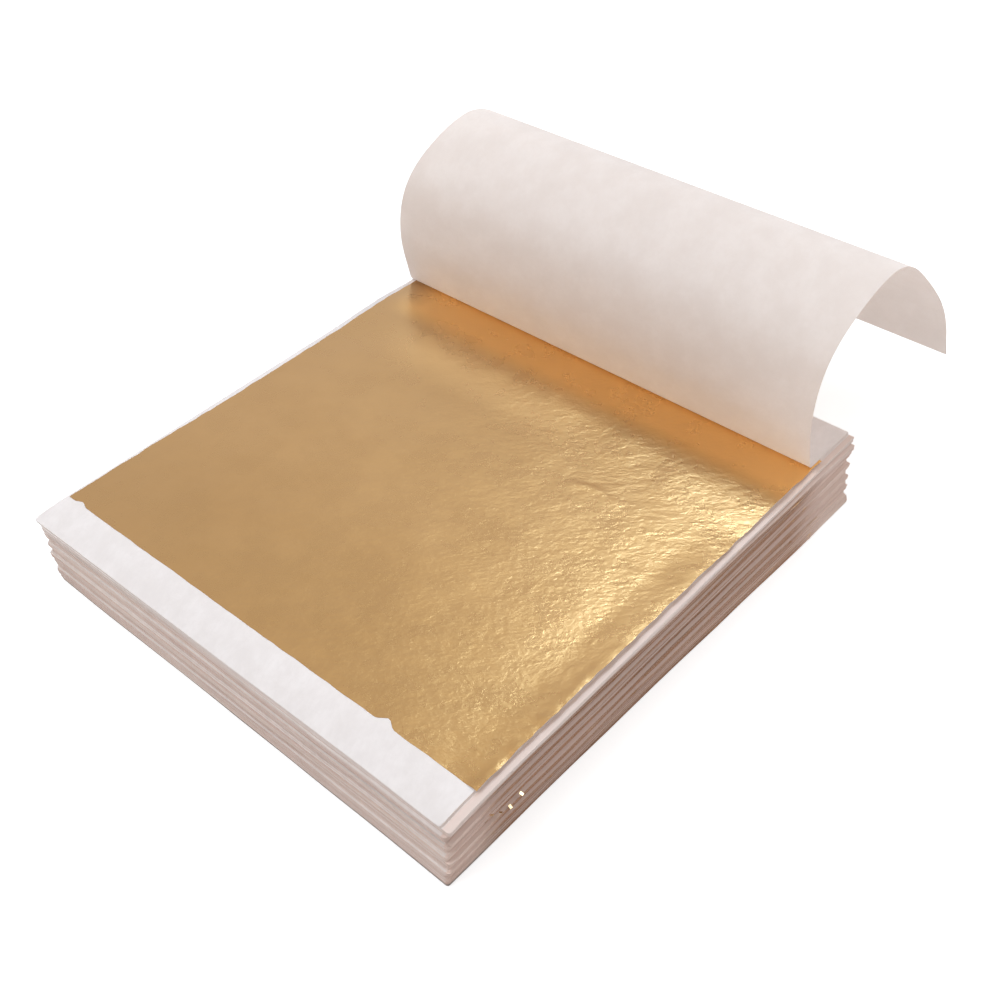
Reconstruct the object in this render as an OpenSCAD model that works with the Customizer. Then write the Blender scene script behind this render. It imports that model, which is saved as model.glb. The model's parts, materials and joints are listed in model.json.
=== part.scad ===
// Booklet of metal leaf: folded tissues with a loose leaf in each, stitched through the back
// margin. The top tissue is creased open, so that its upper page curls back off its leaf.
// +Z is up, +Y runs from the open front edge to the bound fold, and the origin is the centre of
// the booklet's flat underside.

/* [Folded tissue] */
// Width of a folded tissue, along the open front edge
folio_w = 86; // [80:0.5:90]
// Depth of a folded tissue, from the open front edge to the fold
folio_l = 95; // [90:0.5:100]
// Thickness of one ply of tissue
ply_t = 0.055; // [0.04:0.005:0.08]
// Air that a folded tissue keeps above its leaf
air = 0.01; // [0.01:0.005:0.03]
// Air between one folded tissue and the next
rest_gap = 0.01; // [0.005:0.005:0.02]
// Folded tissues in a packet
packet_size = 10; // [6:1:12]

/* [Metal leaf] */
// Width of a leaf
leaf_w = 85; // [78:0.5:85]
// Depth of a leaf
leaf_l = 80; // [72:0.5:80]
// Thickness of a leaf
leaf_t = 0.01; // [0.01:0.005:0.02]
// Bare tissue in front of the leaf
front_margin = 6.4; // [4:0.1:8]
// Bare tissue on the right of the open leaf
side_margin = 0.1; // [0:0.05:0.5]
// Unevenness of the open leaf's edges
leaf_edge = 0.2; // [0:0.02:0.4]
// Depth of the nicks torn in the open leaf's front edge
nick_depth = 1.1; // [0.1:0.1:1.5]

/* [Stack] */
// Shift to the right of the closed tissues just under the open one
top_shift = 1.1; // [-1.5:0.1:1.5]
// Turn of the closed tissues just under the open one, in degrees
top_turn = 0.6; // [-1:0.1:1]
// Shift to the right of the lowest tissue
low_shift = 0.9; // [-1.5:0.1:1.5]
// Shift towards the back of the lowest tissue
low_back = 0.9; // [-1:0.1:1]
// Turn of the lowest tissue, in degrees
low_turn = -0.7; // [-1:0.1:1]
// How far a packet may stray from the stack's line
packet_stray = 0.3; // [0:0.05:0.4]
// How far one tissue may stray from its packet
folio_stray = 0.1; // [0:0.02:0.2]

/* [Raised page] */
// Width of the bound strip, from the crease back to the fold
strip_l = 11.4; // [10:0.2:14]
// Slope of the page where it leaves the crease, in degrees from straight back
lift = 101; // [95:1:110]
// Gap between neighbouring panels of the page, where it bends
bend_gap = 0.08; // [0.07:0.01:0.12]

/* [Wire stitches] */
// Diameter of the wire
wire_d = 0.6; // [0.5:0.05:0.7]
// Length of a stitch's crown
crown_l = 12; // [10:0.5:16]
// Distance between the middles of the two stitches
stitch_pitch = 40; // [30:1:50]
// Distance of the stitches from the fold
stitch_inset = 5; // [4:0.5:6]
// Length of a clinched end, under the booklet
clinch_l = 4.5; // [3:0.5:4.5]

/* [Hidden] */
PACKETS = 10;
PANELS = 7;

TISSUE = "#efe7e3";
TISSUE_EDGE = "#cdb9b0";
GOLD = "#c79b52";
WIRE = "#a9abae";

folio_h = 2 * ply_t + leaf_t + air;
folio_pitch = folio_h + rest_gap;
closed_folios = PACKETS * packet_size - 1;
open_z = closed_folios * folio_pitch;
stack_h = open_z + folio_h;
front_y = -folio_l / 2;
back_y = folio_l / 2;
crease_y = back_y - strip_l;

// Length shares and slopes of the page's panels, from the crease to the free edge. The slopes
// are in degrees from straight back, and the first panel's is the lift.
PANEL_SHARE = [11.6, 10, 12, 10, 14, 14, 12];
PANEL_SLOPE = [lift, 72, 26, 4, -42, -49, -70];
page_l = folio_l - strip_l;
page_mid_z = stack_h - ply_t / 2;

// Nicks in the open leaf's front edge: distance from its left corner, and width
NICKS = [[2.8, 1], [68.6, 1.5]];

wire_r = wire_d / 2;
wire_clear = 0.05;
wire_bend = wire_r + wire_clear;
stitch_y = back_y - stitch_inset;
// The wire's clinched ends lie in a recess in the underside, up to a whole ply above them.
recess_h = (floor(wire_d / folio_pitch) + 1) * folio_pitch - rest_gap - ply_t;
STITCH_X = [-stitch_pitch / 2, stitch_pitch / 2];
round_fn = 32;

function sum(list, k = 0) = k >= len(list) ? 0 : list[k] + sum(list, k + 1);
function panel_l(k) = page_l * PANEL_SHARE[k] / sum(PANEL_SHARE);
// Place of the bend in front of panel k, as [y, z]
function bend(k) = k == 0 ? [crease_y, page_mid_z]
    : bend(k - 1) + panel_l(k - 1) * [cos(PANEL_SLOPE[k - 1]), sin(PANEL_SLOPE[k - 1])];

// How a closed tissue lies: depth is 0 just under the open one and 1 at the bottom.
function mix(a, b, t) = a + (b - a) * t;
packet_dx = rands(-packet_stray, packet_stray, PACKETS, 11);
packet_dy = rands(-packet_stray, packet_stray, PACKETS, 23);
folio_dx = rands(-folio_stray, folio_stray, closed_folios, 5);
folio_dy = rands(-folio_stray, folio_stray, closed_folios, 7);
function depth(n) = 1 - n / (closed_folios - 1);
function packet_of(n) = floor(n / packet_size);
function folio_x(n) = mix(top_shift, low_shift, depth(n)) + packet_dx[packet_of(n)] + folio_dx[n];
function folio_y(n) = mix(0, low_back, depth(n)) + packet_dy[packet_of(n)] + folio_dy[n];
function folio_turn(n) = mix(top_turn, low_turn, depth(n));
function last_in(k) = min(k * packet_size, closed_folios) - 1;

function arc(r, from, to, steps) =
    [for (s = [0 : steps]) let (a = mix(from, to, s / steps)) r * [cos(a), sin(a)]];

// Section of a folded tissue, with y across and z up: the lower ply, the fold at the back and an
// upper ply that reaches forward from the fold by upper_l.
module folio_section(upper_l) {
    r = folio_h / 2;
    fold = [back_y - r, r];
    polygon(concat(
        [[front_y, 0]],
        [for (p = arc(r, -90, 90, 6)) fold + p],
        [[back_y - upper_l, folio_h], [back_y - upper_l, folio_h - ply_t]],
        [for (p = arc(r - ply_t, 90, -90, 4)) fold + p],
        [[front_y, ply_t]]
    ));
}

// A folded tissue on z = 0, as wide as the booklet
module folio(upper_l) {
    translate([-folio_w / 2, 0, 0]) rotate([90, 0, 90])
        linear_extrude(folio_w) folio_section(upper_l);
}

// Lays a closed tissue or its leaf where it belongs in the stack.
module in_stack(n) {
    translate([folio_x(n), folio_y(n), n * folio_pitch]) rotate([0, 0, folio_turn(n)]) children();
}

// Room for the legs of both stitches, and for their clinched ends
module stitch_room() {
    for (x = STITCH_X, side = [-1, 1])
        translate([x + side * crown_l / 2, stitch_y, -1])
            cylinder(r = wire_bend, h = stack_h + 2, $fn = round_fn);
}
module clinch_room() {
    for (x = STITCH_X, side = [-1, 1])
        translate([x + side * (crown_l - clinch_l) / 2, stitch_y, recess_h / 2 - 0.5])
            cube([clinch_l + 2 * wire_clear, 2 * wire_bend, recess_h + 1], center = true);
}

module tissue_packet(k) {
    color(k % 2 == 0 ? TISSUE : TISSUE_EDGE)
        for (n = [(k - 1) * packet_size : last_in(k)]) difference() {
            in_stack(n) folio(folio_l);
            stitch_room();
            if (n * folio_pitch < recess_h) clinch_room();
        }
}

module leaf_packet(k) {
    color(GOLD)
        for (n = [(k - 1) * packet_size : last_in(k)])
            in_stack(n) translate([-leaf_w / 2, front_y + front_margin, ply_t])
                cube([leaf_w, leaf_l, leaf_t]);
}

// The tissue that lies open: its lower ply, its fold, and the bound strip of its upper ply
module open_folio() {
    color(TISSUE) difference() {
        translate([0, 0, open_z]) folio(strip_l - bend_gap / 2);
        stitch_room();
    }
}

// One side of the open leaf, along +X from the origin, with its unevenness towards +Y
function uneven_side(length, seed, steps = 16) =
    let (stray = rands(0, leaf_edge, steps - 1, seed))
    [for (s = [1 : steps - 1]) [length * s / steps, stray[s - 1]]];
function nick(n) = [
    [n[0], 0], [n[0] + 0.2 * n[1], nick_depth], [n[0] + 0.9 * n[1], 0.8 * nick_depth], [n[0] + n[1], 0]
];
module open_leaf() {
    front = [for (n = NICKS) each nick(n)];
    right = [for (p = uneven_side(leaf_l, 37)) [leaf_w - p[1], p[0]]];
    back = [for (p = uneven_side(leaf_w, 41)) [leaf_w - p[0], leaf_l - p[1]]];
    left = [for (p = uneven_side(leaf_l, 43)) [p[1], leaf_l - p[0]]];
    color(GOLD)
        translate([folio_w / 2 - side_margin - leaf_w, front_y + front_margin, open_z + ply_t])
            linear_extrude(leaf_t) polygon(concat(
                [[0, 0]], front, [[leaf_w, 0]], right, [[leaf_w, leaf_l]], back, [[0, leaf_l]], left
            ));
}

// Panel k of the raised page, from one bend to the next. The last one ends at the free edge.
module page_panel(k) {
    at = bend(k - 1);
    end_gap = k < PANELS ? bend_gap / 2 : 0;
    color(TISSUE)
        translate([-folio_w / 2, at[0], at[1]]) rotate([PANEL_SLOPE[k - 1], 0, 0])
            translate([0, bend_gap / 2, -ply_t / 2])
                cube([folio_w, panel_l(k - 1) - bend_gap / 2 - end_gap, ply_t]);
}

// A wire stitch: a crown on the bound strip, two legs through the stack, and two ends clinched
// inwards in the underside
module wire_run(length) {
    cylinder(r = wire_r, h = length, $fn = round_fn);
}
module wire_elbow() {
    rotate_extrude(angle = 90, $fn = 48) translate([wire_bend, 0]) circle(r = wire_r, $fn = round_fn);
}
module stitch_half() {
    crown_z = stack_h + wire_r;
    clinch_z = recess_h - wire_r;
    leg_x = crown_l / 2;
    rotate([0, 90, 0]) translate([-crown_z, 0, 0]) wire_run(leg_x - wire_bend);
    translate([leg_x - wire_bend, 0, crown_z - wire_bend]) rotate([90, 0, 0]) wire_elbow();
    translate([leg_x, 0, clinch_z + wire_bend]) wire_run(crown_z - clinch_z - 2 * wire_bend);
    translate([leg_x - wire_bend, 0, clinch_z + wire_bend]) rotate([-90, 0, 0]) wire_elbow();
    translate([leg_x - wire_bend, 0, clinch_z]) rotate([0, -90, 0]) wire_run(clinch_l - wire_bend);
}
module stitch(x) {
    color(WIRE) translate([x, stitch_y, 0]) {
        stitch_half();
        mirror([1, 0, 0]) stitch_half();
    }
}

for (k = [1 : PACKETS]) tissue_packet(k);
for (k = [1 : PACKETS]) leaf_packet(k);
open_folio();
open_leaf();
for (k = [1 : PANELS]) page_panel(k);
stitch(STITCH_X[0]);  // stitch_left
stitch(STITCH_X[1]);  // stitch_right
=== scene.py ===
"""A booklet of gold leaf, dressed around its CAD frame.

A pad of folded tissues with a loose leaf of gold in each, wire-stitched through its bound back margin.
The top tissue's page is turned up and curls over to the back, so that the topmost leaf lies open.

Everything is in metres in the frame of the CAD: +Z up, +Y from the open front edge back to the bound fold,
+X to the right, with the origin on the underside below the middle of the open tissue.
"""

from __future__ import annotations

import json
import logging
import math
import random
from collections.abc import Callable, Iterable
from dataclasses import dataclass, field
from enum import Enum
from functools import cached_property

import bmesh
import bpy
from mathutils import Matrix, Vector

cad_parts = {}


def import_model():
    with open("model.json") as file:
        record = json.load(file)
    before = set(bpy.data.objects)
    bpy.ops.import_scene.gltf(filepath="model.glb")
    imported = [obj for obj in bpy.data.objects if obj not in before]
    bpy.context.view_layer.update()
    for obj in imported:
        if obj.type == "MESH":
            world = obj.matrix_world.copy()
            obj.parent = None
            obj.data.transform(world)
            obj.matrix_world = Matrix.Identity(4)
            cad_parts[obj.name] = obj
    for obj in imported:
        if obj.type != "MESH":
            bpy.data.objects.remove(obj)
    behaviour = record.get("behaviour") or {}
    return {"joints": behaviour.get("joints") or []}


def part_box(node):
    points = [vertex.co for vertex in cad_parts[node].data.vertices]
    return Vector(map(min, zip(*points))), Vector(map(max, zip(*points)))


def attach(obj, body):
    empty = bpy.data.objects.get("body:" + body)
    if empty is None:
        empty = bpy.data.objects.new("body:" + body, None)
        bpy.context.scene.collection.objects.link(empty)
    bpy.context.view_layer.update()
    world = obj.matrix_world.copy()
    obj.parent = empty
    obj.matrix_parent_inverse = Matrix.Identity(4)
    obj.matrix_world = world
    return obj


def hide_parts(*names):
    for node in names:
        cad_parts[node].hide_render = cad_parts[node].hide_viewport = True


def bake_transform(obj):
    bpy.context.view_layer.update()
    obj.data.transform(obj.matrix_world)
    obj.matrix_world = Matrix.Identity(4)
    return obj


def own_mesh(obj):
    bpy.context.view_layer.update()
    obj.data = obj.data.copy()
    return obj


MM = 0.001
HAIR = 1e-6  # Points that are closer than this to an edge are on it
RIM = "rim"
log = logging.getLogger("gold_leaf_booklet")

Colour = tuple[float, float, float]
Place = tuple[float, float, float]


class Axis(Enum):
    """The direction in which a noise field moves a sheet."""

    ACROSS = "X"
    ALONG = "Y"
    UP = "Z"


# The bench: the few moves that all the pieces are made with


def put_down() -> None:
    """Leaves edit mode and deselects everything."""
    if bpy.context.object and bpy.context.object.mode != "OBJECT":
        bpy.ops.object.mode_set(mode="OBJECT")
    bpy.ops.object.select_all(action="DESELECT")


def take(obj: bpy.types.Object) -> bpy.types.Object:
    """Makes one object the only selected and the active one.

    Args:
        obj: The object to work on.

    Returns:
        The same object.
    """
    put_down()
    obj.select_set(True)
    bpy.context.view_layer.objects.active = obj
    return obj


def bake_place(obj: bpy.types.Object) -> bpy.types.Object:
    """Puts an object's place, turn and scale into its mesh and returns it."""
    take(obj)
    bpy.ops.object.transform_apply(location=True, rotation=True, scale=True)
    return obj


def select_points(obj: bpy.types.Object, test: Callable[[Vector], bool], faces: bool = False) -> None:
    """Enters edit mode with only the points, or faces, selected whose place passes a test.

    Args:
        obj: The mesh object.
        test: Takes a place in metres and says whether it is selected.
        faces: Whether faces are tested, by their middle, in place of points.
    """
    take(obj)
    bpy.ops.object.mode_set(mode="EDIT")
    bpy.ops.mesh.select_mode(type="FACE" if faces else "VERT")
    bpy.ops.mesh.select_all(action="DESELECT")
    mesh = bmesh.from_edit_mesh(obj.data)
    for part in mesh.faces if faces else mesh.verts:
        part.select = test(part.calc_center_median() if faces else part.co)
    mesh.select_flush_mode()
    bmesh.update_edit_mesh(obj.data)


def mark(obj: bpy.types.Object, group: str, share: Callable[[Vector], float]) -> str:
    """Puts points in a new vertex group, each by its place.

    Args:
        obj: The mesh object.
        group: The group's name.
        share: Takes a place in metres and gives the point's weight in the group, from 0 to 1.

    Returns:
        The name that the group got.
    """
    made = obj.vertex_groups.new(name=group)
    for point in obj.data.vertices:
        weight = float(share(point.co))
        if weight > 0:
            made.add([point.index], weight, "REPLACE")
    return made.name


def press(obj: bpy.types.Object, name: str, axis: Axis, by: float, share: Callable[[Vector], float]) -> None:
    """Moves an object's points along an axis, each by its share of a distance.

    Args:
        obj: The mesh object.
        name: What the move makes.
        axis: The direction.
        by: The distance of a point with a share of 1.
        share: Takes a place in metres and gives the point's share, from 0 to 1.
    """
    group = mark(obj, name, share)
    move = obj.modifiers.new(name, "DISPLACE")
    move.direction, move.mid_level, move.strength, move.vertex_group = axis.value, 0.0, by, group
    apply_all(obj)


def ease(value: float, start: float, end: float) -> float:
    """0 before start, 1 after end and smooth between them."""
    t = min(max((value - start) / (end - start), 0.0), 1.0)
    return t * t * (3 - 2 * t)


def extrude(by: Vector | Place) -> None:
    """Draws what is selected in edit mode out by a vector, in metres."""
    bpy.ops.mesh.extrude_region_move(TRANSFORM_OT_translate={"value": tuple(by)})


def face_outwards() -> None:
    """Turns all faces of the mesh in edit mode to the same side, outwards, and puts it down."""
    bpy.ops.mesh.select_all(action="SELECT")
    bpy.ops.mesh.normals_make_consistent(inside=False)
    put_down()


def merge_middle(sheet: bpy.types.Object, width: float, length: float, cells: int) -> None:
    """Merges a flat sheet's squares into one face, all but the ring along its edges.

    Args:
        sheet: The sheet, about the origin.
        width: Its size in X.
        length: Its size in Y.
        cells: How many squares it has each way.
    """
    inner = 0.5 - 1.2 / cells
    select_points(sheet, lambda p: abs(p.x) < width * inner and abs(p.y) < length * inner, faces=True)
    bpy.ops.mesh.dissolve_faces()
    put_down()


def flat_sheet(name: str, width: float, length: float, across: int, along: int,
               at: Place = (0, 0, 0)) -> bpy.types.Object:
    """Adds a flat sheet of even squares.

    Args:
        name: The new object's name.
        width: Its size in X.
        length: Its size in Y.
        across: How many squares it has in X.
        along: How many squares it has in Y.
        at: Its middle.

    Returns:
        The sheet, with its place in its mesh.
    """
    put_down()
    bpy.ops.mesh.primitive_grid_add(x_subdivisions=across, y_subdivisions=along, size=1.0, location=at)
    sheet = bpy.context.object
    sheet.name = sheet.data.name = name
    sheet.scale = (width, length, 1.0)
    return bake_place(sheet)


def round_front(sheet: bpy.types.Object, radius: float) -> None:
    """Rounds the two front corners of a flat sheet that lies about the origin."""
    reach = max(p.co.x for p in sheet.data.vertices) - HAIR
    front = min(p.co.y for p in sheet.data.vertices) + HAIR
    select_points(sheet, lambda p: abs(p.x) > reach and p.y < front)
    bpy.ops.mesh.bevel(offset=radius, segments=3, affect="VERTICES")
    put_down()


def apply_all(obj: bpy.types.Object) -> None:
    """Applies every modifier of an object, in order."""
    take(obj)
    for modifier in list(obj.modifiers):
        bpy.ops.object.modifier_apply(modifier=modifier.name)


def give_thickness(obj: bpy.types.Object, thickness: float, edge_slot: int = 0) -> None:
    """Turns a sheet into a thin solid that stands out evenly to both of its sides.

    Args:
        obj: The sheet.
        thickness: The solid's thickness.
        edge_slot: How many material slots further on its cut edges read.
    """
    solid = obj.modifiers.new("thickness", "SOLIDIFY")
    solid.thickness, solid.offset = thickness, 0.0
    solid.use_even_offset = False
    solid.material_offset_rim = edge_slot
    apply_all(obj)


def join(name: str, parts: list[bpy.types.Object]) -> bpy.types.Object:
    """Joins meshes into one object.

    Args:
        name: The joined object's name.
        parts: The objects, of which the first is kept.

    Returns:
        The joined object, with its place in its mesh.
    """
    take(parts[0])
    for part in parts[1:]:
        part.select_set(True)
    if len(parts) > 1:
        bpy.ops.object.join()
    whole = bpy.context.object
    whole.name = whole.data.name = name
    return bake_place(whole)


def twin(master: bpy.types.Object, turn: float = 0.0, at: Vector | Place = (0, 0, 0)) -> bpy.types.Object:
    """Copies an object with its own mesh and sets it down.

    Args:
        master: What is copied.
        turn: The copy's turn about Z, in radians.
        at: Where the copy's origin goes.

    Returns:
        The copy.
    """
    copy = master.copy()
    copy.data = master.data.copy()
    bpy.context.collection.objects.link(copy)
    copy.matrix_world = Matrix.Translation(at) @ Matrix.Rotation(turn, 4, "Z")
    return copy


def discard(*objects: bpy.types.Object) -> None:
    """Deletes objects that only helped to make others."""
    put_down()
    for obj in objects:
        bpy.data.objects.remove(obj, do_unlink=True)


def smooth(obj: bpy.types.Object, angle: float = 35.0) -> None:
    """Shades an object smooth but for edges over an angle in degrees."""
    take(obj)
    bpy.ops.object.shade_smooth_by_angle(angle=math.radians(angle))


def wear(obj: bpy.types.Object, *materials: bpy.types.Material) -> bpy.types.Object:
    """Gives an object its material slots, in order, and returns it."""
    obj.data.materials.clear()
    for material in materials:
        obj.data.materials.append(material)
    return obj


@dataclass(frozen=True)
class Ripple:
    """A smooth field of noise that moves the points of any piece that it is laid on, by their place.

    Attributes:
        name: What it is for.
        size: How far apart its swells are in X, Y and Z.
        swing: The most that it moves a point either way.
        axis: The direction in which it moves points.
        depth: How many finer layers of noise it has.
        start: Where its pattern starts.
        still: The noise value, from 0 to 1, that leaves a point where it is.
        stretch: How far the noise is stretched, since it keeps near its middle, so that it fills the swing.
    """

    name: str
    size: Place
    swing: float
    axis: Axis
    depth: int = 1
    start: Place = (0.0, 0.0, 0.0)
    still: float = 0.5
    stretch: float = 2.6

    def lay_on(self, obj: bpy.types.Object, group: str = "") -> None:
        """Moves an object's points, or those of one vertex group by its weights.

        Args:
            obj: The mesh object.
            group: The vertex group, or nothing for all points.
        """
        put_down()
        bpy.ops.object.empty_add(location=self.start)
        guide = bpy.context.object
        guide.scale = self.size
        bpy.context.view_layer.update()
        texture = bpy.data.textures.new(self.name, "CLOUDS")
        texture.noise_scale, texture.noise_depth = 1.0, self.depth
        take(obj)
        ripple = obj.modifiers.new(self.name, "DISPLACE")
        ripple.texture, ripple.texture_coords, ripple.texture_coords_object = texture, "OBJECT", guide
        ripple.direction, ripple.mid_level = self.axis.value, self.still
        ripple.strength = self.stretch * self.swing
        if group:
            ripple.vertex_group = group
        bpy.ops.object.modifier_apply(modifier=ripple.name)
        bpy.data.textures.remove(texture)
        discard(guide)


# The finishes


class Nodes:
    """Builds the node tree of a material or of the world, with every pattern on Object coordinates."""

    def __init__(self, owner: str | bpy.types.World) -> None:
        """Starts a new material of that name, or the world anew."""
        self.owner = bpy.data.materials.new(owner) if isinstance(owner, str) else owner
        self.owner.use_nodes = True
        self.tree = self.owner.node_tree
        self.tree.nodes.clear()

    @cached_property
    def place(self) -> bpy.types.NodeSocket:
        """A point's place."""
        return self.add("ShaderNodeTexCoord").outputs["Object"]

    @cached_property
    def axes(self) -> list[bpy.types.NodeSocket]:
        """X, Y and Z of a point's place."""
        split = self.add("ShaderNodeSeparateXYZ")
        self.feed(split.inputs[0], self.place)
        return list(split.outputs)

    def add(self, kind: str, **values: object) -> bpy.types.Node:
        """Adds a node and sets its properties.

        Args:
            kind: The node's type.
            **values: Its properties, by name.

        Returns:
            The node.
        """
        node = self.tree.nodes.new(kind)
        for name, value in values.items():
            setattr(node, name, value)
        return node

    def feed(self, socket: bpy.types.NodeSocket, value: object) -> None:
        """Links an output to a socket, or sets the socket's own value."""
        if isinstance(value, bpy.types.NodeSocket):
            self.tree.links.new(value, socket)
        else:
            socket.default_value = value

    def noise(self, scale: float, detail: float = 3.0, roughness: float = 0.5, stretch: Place = (1, 1, 1),
              turn: float = 0.0, distortion: float = 0.0) -> bpy.types.NodeSocket:
        """A noise from 0 to 1.

        Args:
            scale: How many swells it has in a metre.
            detail: How many finer layers it has.
            roughness: How strong they are.
            stretch: How much longer its swells are along X, Y and Z.
            turn: The pattern's turn about Z, in degrees.
            distortion: How much it is swirled.

        Returns:
            The noise's value.
        """
        mapping = self.add("ShaderNodeMapping", vector_type="TEXTURE")
        self.feed(mapping.inputs["Vector"], self.place)
        mapping.inputs["Rotation"].default_value = (0, 0, math.radians(turn))
        mapping.inputs["Scale"].default_value = stretch
        noise = self.add("ShaderNodeTexNoise")
        names = ("Vector", "Scale", "Detail", "Roughness", "Distortion")
        for name, value in zip(names, (mapping.outputs["Vector"], scale, detail, roughness, distortion)):
            self.feed(noise.inputs[name], value)
        return noise.outputs["Fac"]

    def remap(self, value: bpy.types.NodeSocket, low: float, high: float, to_low: float = 0.0,
              to_high: float = 1.0) -> bpy.types.NodeSocket:
        """Takes the range low to high of a value smoothly to another range."""
        node = self.add("ShaderNodeMapRange", interpolation_type="SMOOTHSTEP")
        names = ("Value", "From Min", "From Max", "To Min", "To Max")
        for name, given in zip(names, (value, low, high, to_low, to_high)):
            self.feed(node.inputs[name], given)
        return node.outputs["Result"]

    def maths(self, operation: str, a: object, b: object) -> bpy.types.NodeSocket:
        """One sum of two values."""
        node = self.add("ShaderNodeMath", operation=operation)
        self.feed(node.inputs[0], a)
        self.feed(node.inputs[1], b)
        return node.outputs[0]

    def both(self, a: object, b: object) -> bpy.types.NodeSocket:
        """The product of two values: how much both masks hold, or one of them times a share."""
        return self.maths("MULTIPLY", a, b)

    def blend_colours(self, amount: object, a: Colour | bpy.types.NodeSocket,
                      b: Colour | bpy.types.NodeSocket) -> bpy.types.NodeSocket:
        """A colour between a and b."""
        node = self.add("ShaderNodeMix", data_type="RGBA")
        self.feed(node.inputs["Factor"], amount)
        for socket, colour in ((node.inputs[6], a), (node.inputs[7], b)):
            self.feed(socket, colour if isinstance(colour, bpy.types.NodeSocket) else (*colour, 1.0))
        return node.outputs[2]

    def blend_shaders(self, *parts: object) -> bpy.types.NodeSocket:
        """A shader between two others: the amount, the first and the second."""
        node = self.add("ShaderNodeMixShader")
        for socket, part in zip(node.inputs, parts):
            self.feed(socket, part)
        return node.outputs[0]

    def white_light(self, kind: str, strength: float) -> bpy.types.NodeSocket:
        """A white emission or background of a strength."""
        node = self.add(kind)
        node.inputs["Color"].default_value = (1, 1, 1, 1)
        node.inputs["Strength"].default_value = strength
        return node.outputs[0]

    def looked_at(self) -> bpy.types.NodeSocket:
        """1 where the camera, metal or glass shows the surface, and 0 where it only sends light on."""
        rays = self.add("ShaderNodeLightPath").outputs
        seen = self.maths("MAXIMUM", rays["Is Camera Ray"], rays["Is Glossy Ray"])
        return self.maths("MAXIMUM", seen, rays["Is Transmission Ray"])

    def bump(self, height: bpy.types.NodeSocket, distance: float, strength: float = 1.0,
             under: bpy.types.NodeSocket | None = None) -> bpy.types.NodeSocket:
        """A relief from a height, on top of another relief if one is given."""
        node = self.add("ShaderNodeBump")
        node.inputs["Strength"].default_value = strength
        node.inputs["Distance"].default_value = distance
        self.feed(node.inputs["Height"], height)
        if under is not None:
            self.feed(node.inputs["Normal"], under)
        return node.outputs["Normal"]

    def surface(self, **values: object) -> bpy.types.NodeSocket:
        """A Principled shader with its sockets set, by name with _ for a space."""
        node = self.add("ShaderNodeBsdfPrincipled")
        for name, value in values.items():
            self.feed(node.inputs[name.replace("_", " ")], value)
        return node.outputs[0]

    def finish(self, shader: bpy.types.NodeSocket, output: str = "ShaderNodeOutputMaterial") -> bpy.types.ID:
        """Links the shader to the output and returns the material or the world."""
        self.feed(self.add(output).inputs["Surface"], shader)
        return self.owner


@dataclass(frozen=True)
class TissueFinish:
    """Thin matt tissue paper, with cloudy formation and fine fibres, that lets some light through.

    Attributes:
        name: The material's name.
        thin: Its colour where the pulp lies thin.
        dense: Its colour where the pulp lies dense.
        glow: The colour of the light that comes through it.
        passes: How much of its light comes through it.
        gap_shade: Its colour where it sticks out on the right: painted shade, darker in the gaps between the
            layers on that side.
        fibre: How deep its fibres stand out.
    """

    name: str
    thin: Colour
    dense: Colour
    glow: Colour
    passes: float
    gap_shade: Colour = (0.86, 0.70, 0.63)
    fibre: float = 0.03 * MM

    def make(self) -> bpy.types.Material:
        """Returns the material."""
        n = Nodes(self.name)
        clouds = n.remap(n.noise(210, 5, 0.68, (1, 1.6, 1), 24), 0.32, 0.66)
        flecks = n.remap(n.noise(1500, 3, 0.65, (1, 2.2, 1), 24), 0.35, 0.75)
        colour = n.blend_colours(n.both(clouds, 0.62), self.thin, self.dense)
        colour = n.blend_colours(n.both(flecks, 0.35), colour, self.dense)
        # Painted shade: the sheets' faces are darker where they stick out on the right, in the shaded gaps
        # between the layers.
        colour = n.blend_colours(n.remap(n.axes[0], 43.05 * MM, 43.3 * MM), colour, self.gap_shade)
        relief = n.bump(n.noise(330, 3, 0.55), self.fibre * 2, 0.6)
        relief = n.bump(n.noise(2600, 4, 0.7), self.fibre, 0.5, relief)
        paper = n.surface(Base_Color=colour, Roughness=0.86, Specular_IOR_Level=0.22, Normal=relief)
        through = n.add("ShaderNodeBsdfTranslucent")
        through.inputs["Color"].default_value = (*self.glow, 1.0)
        return n.finish(n.blend_shaders(self.passes, paper, through.outputs[0]))


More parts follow.
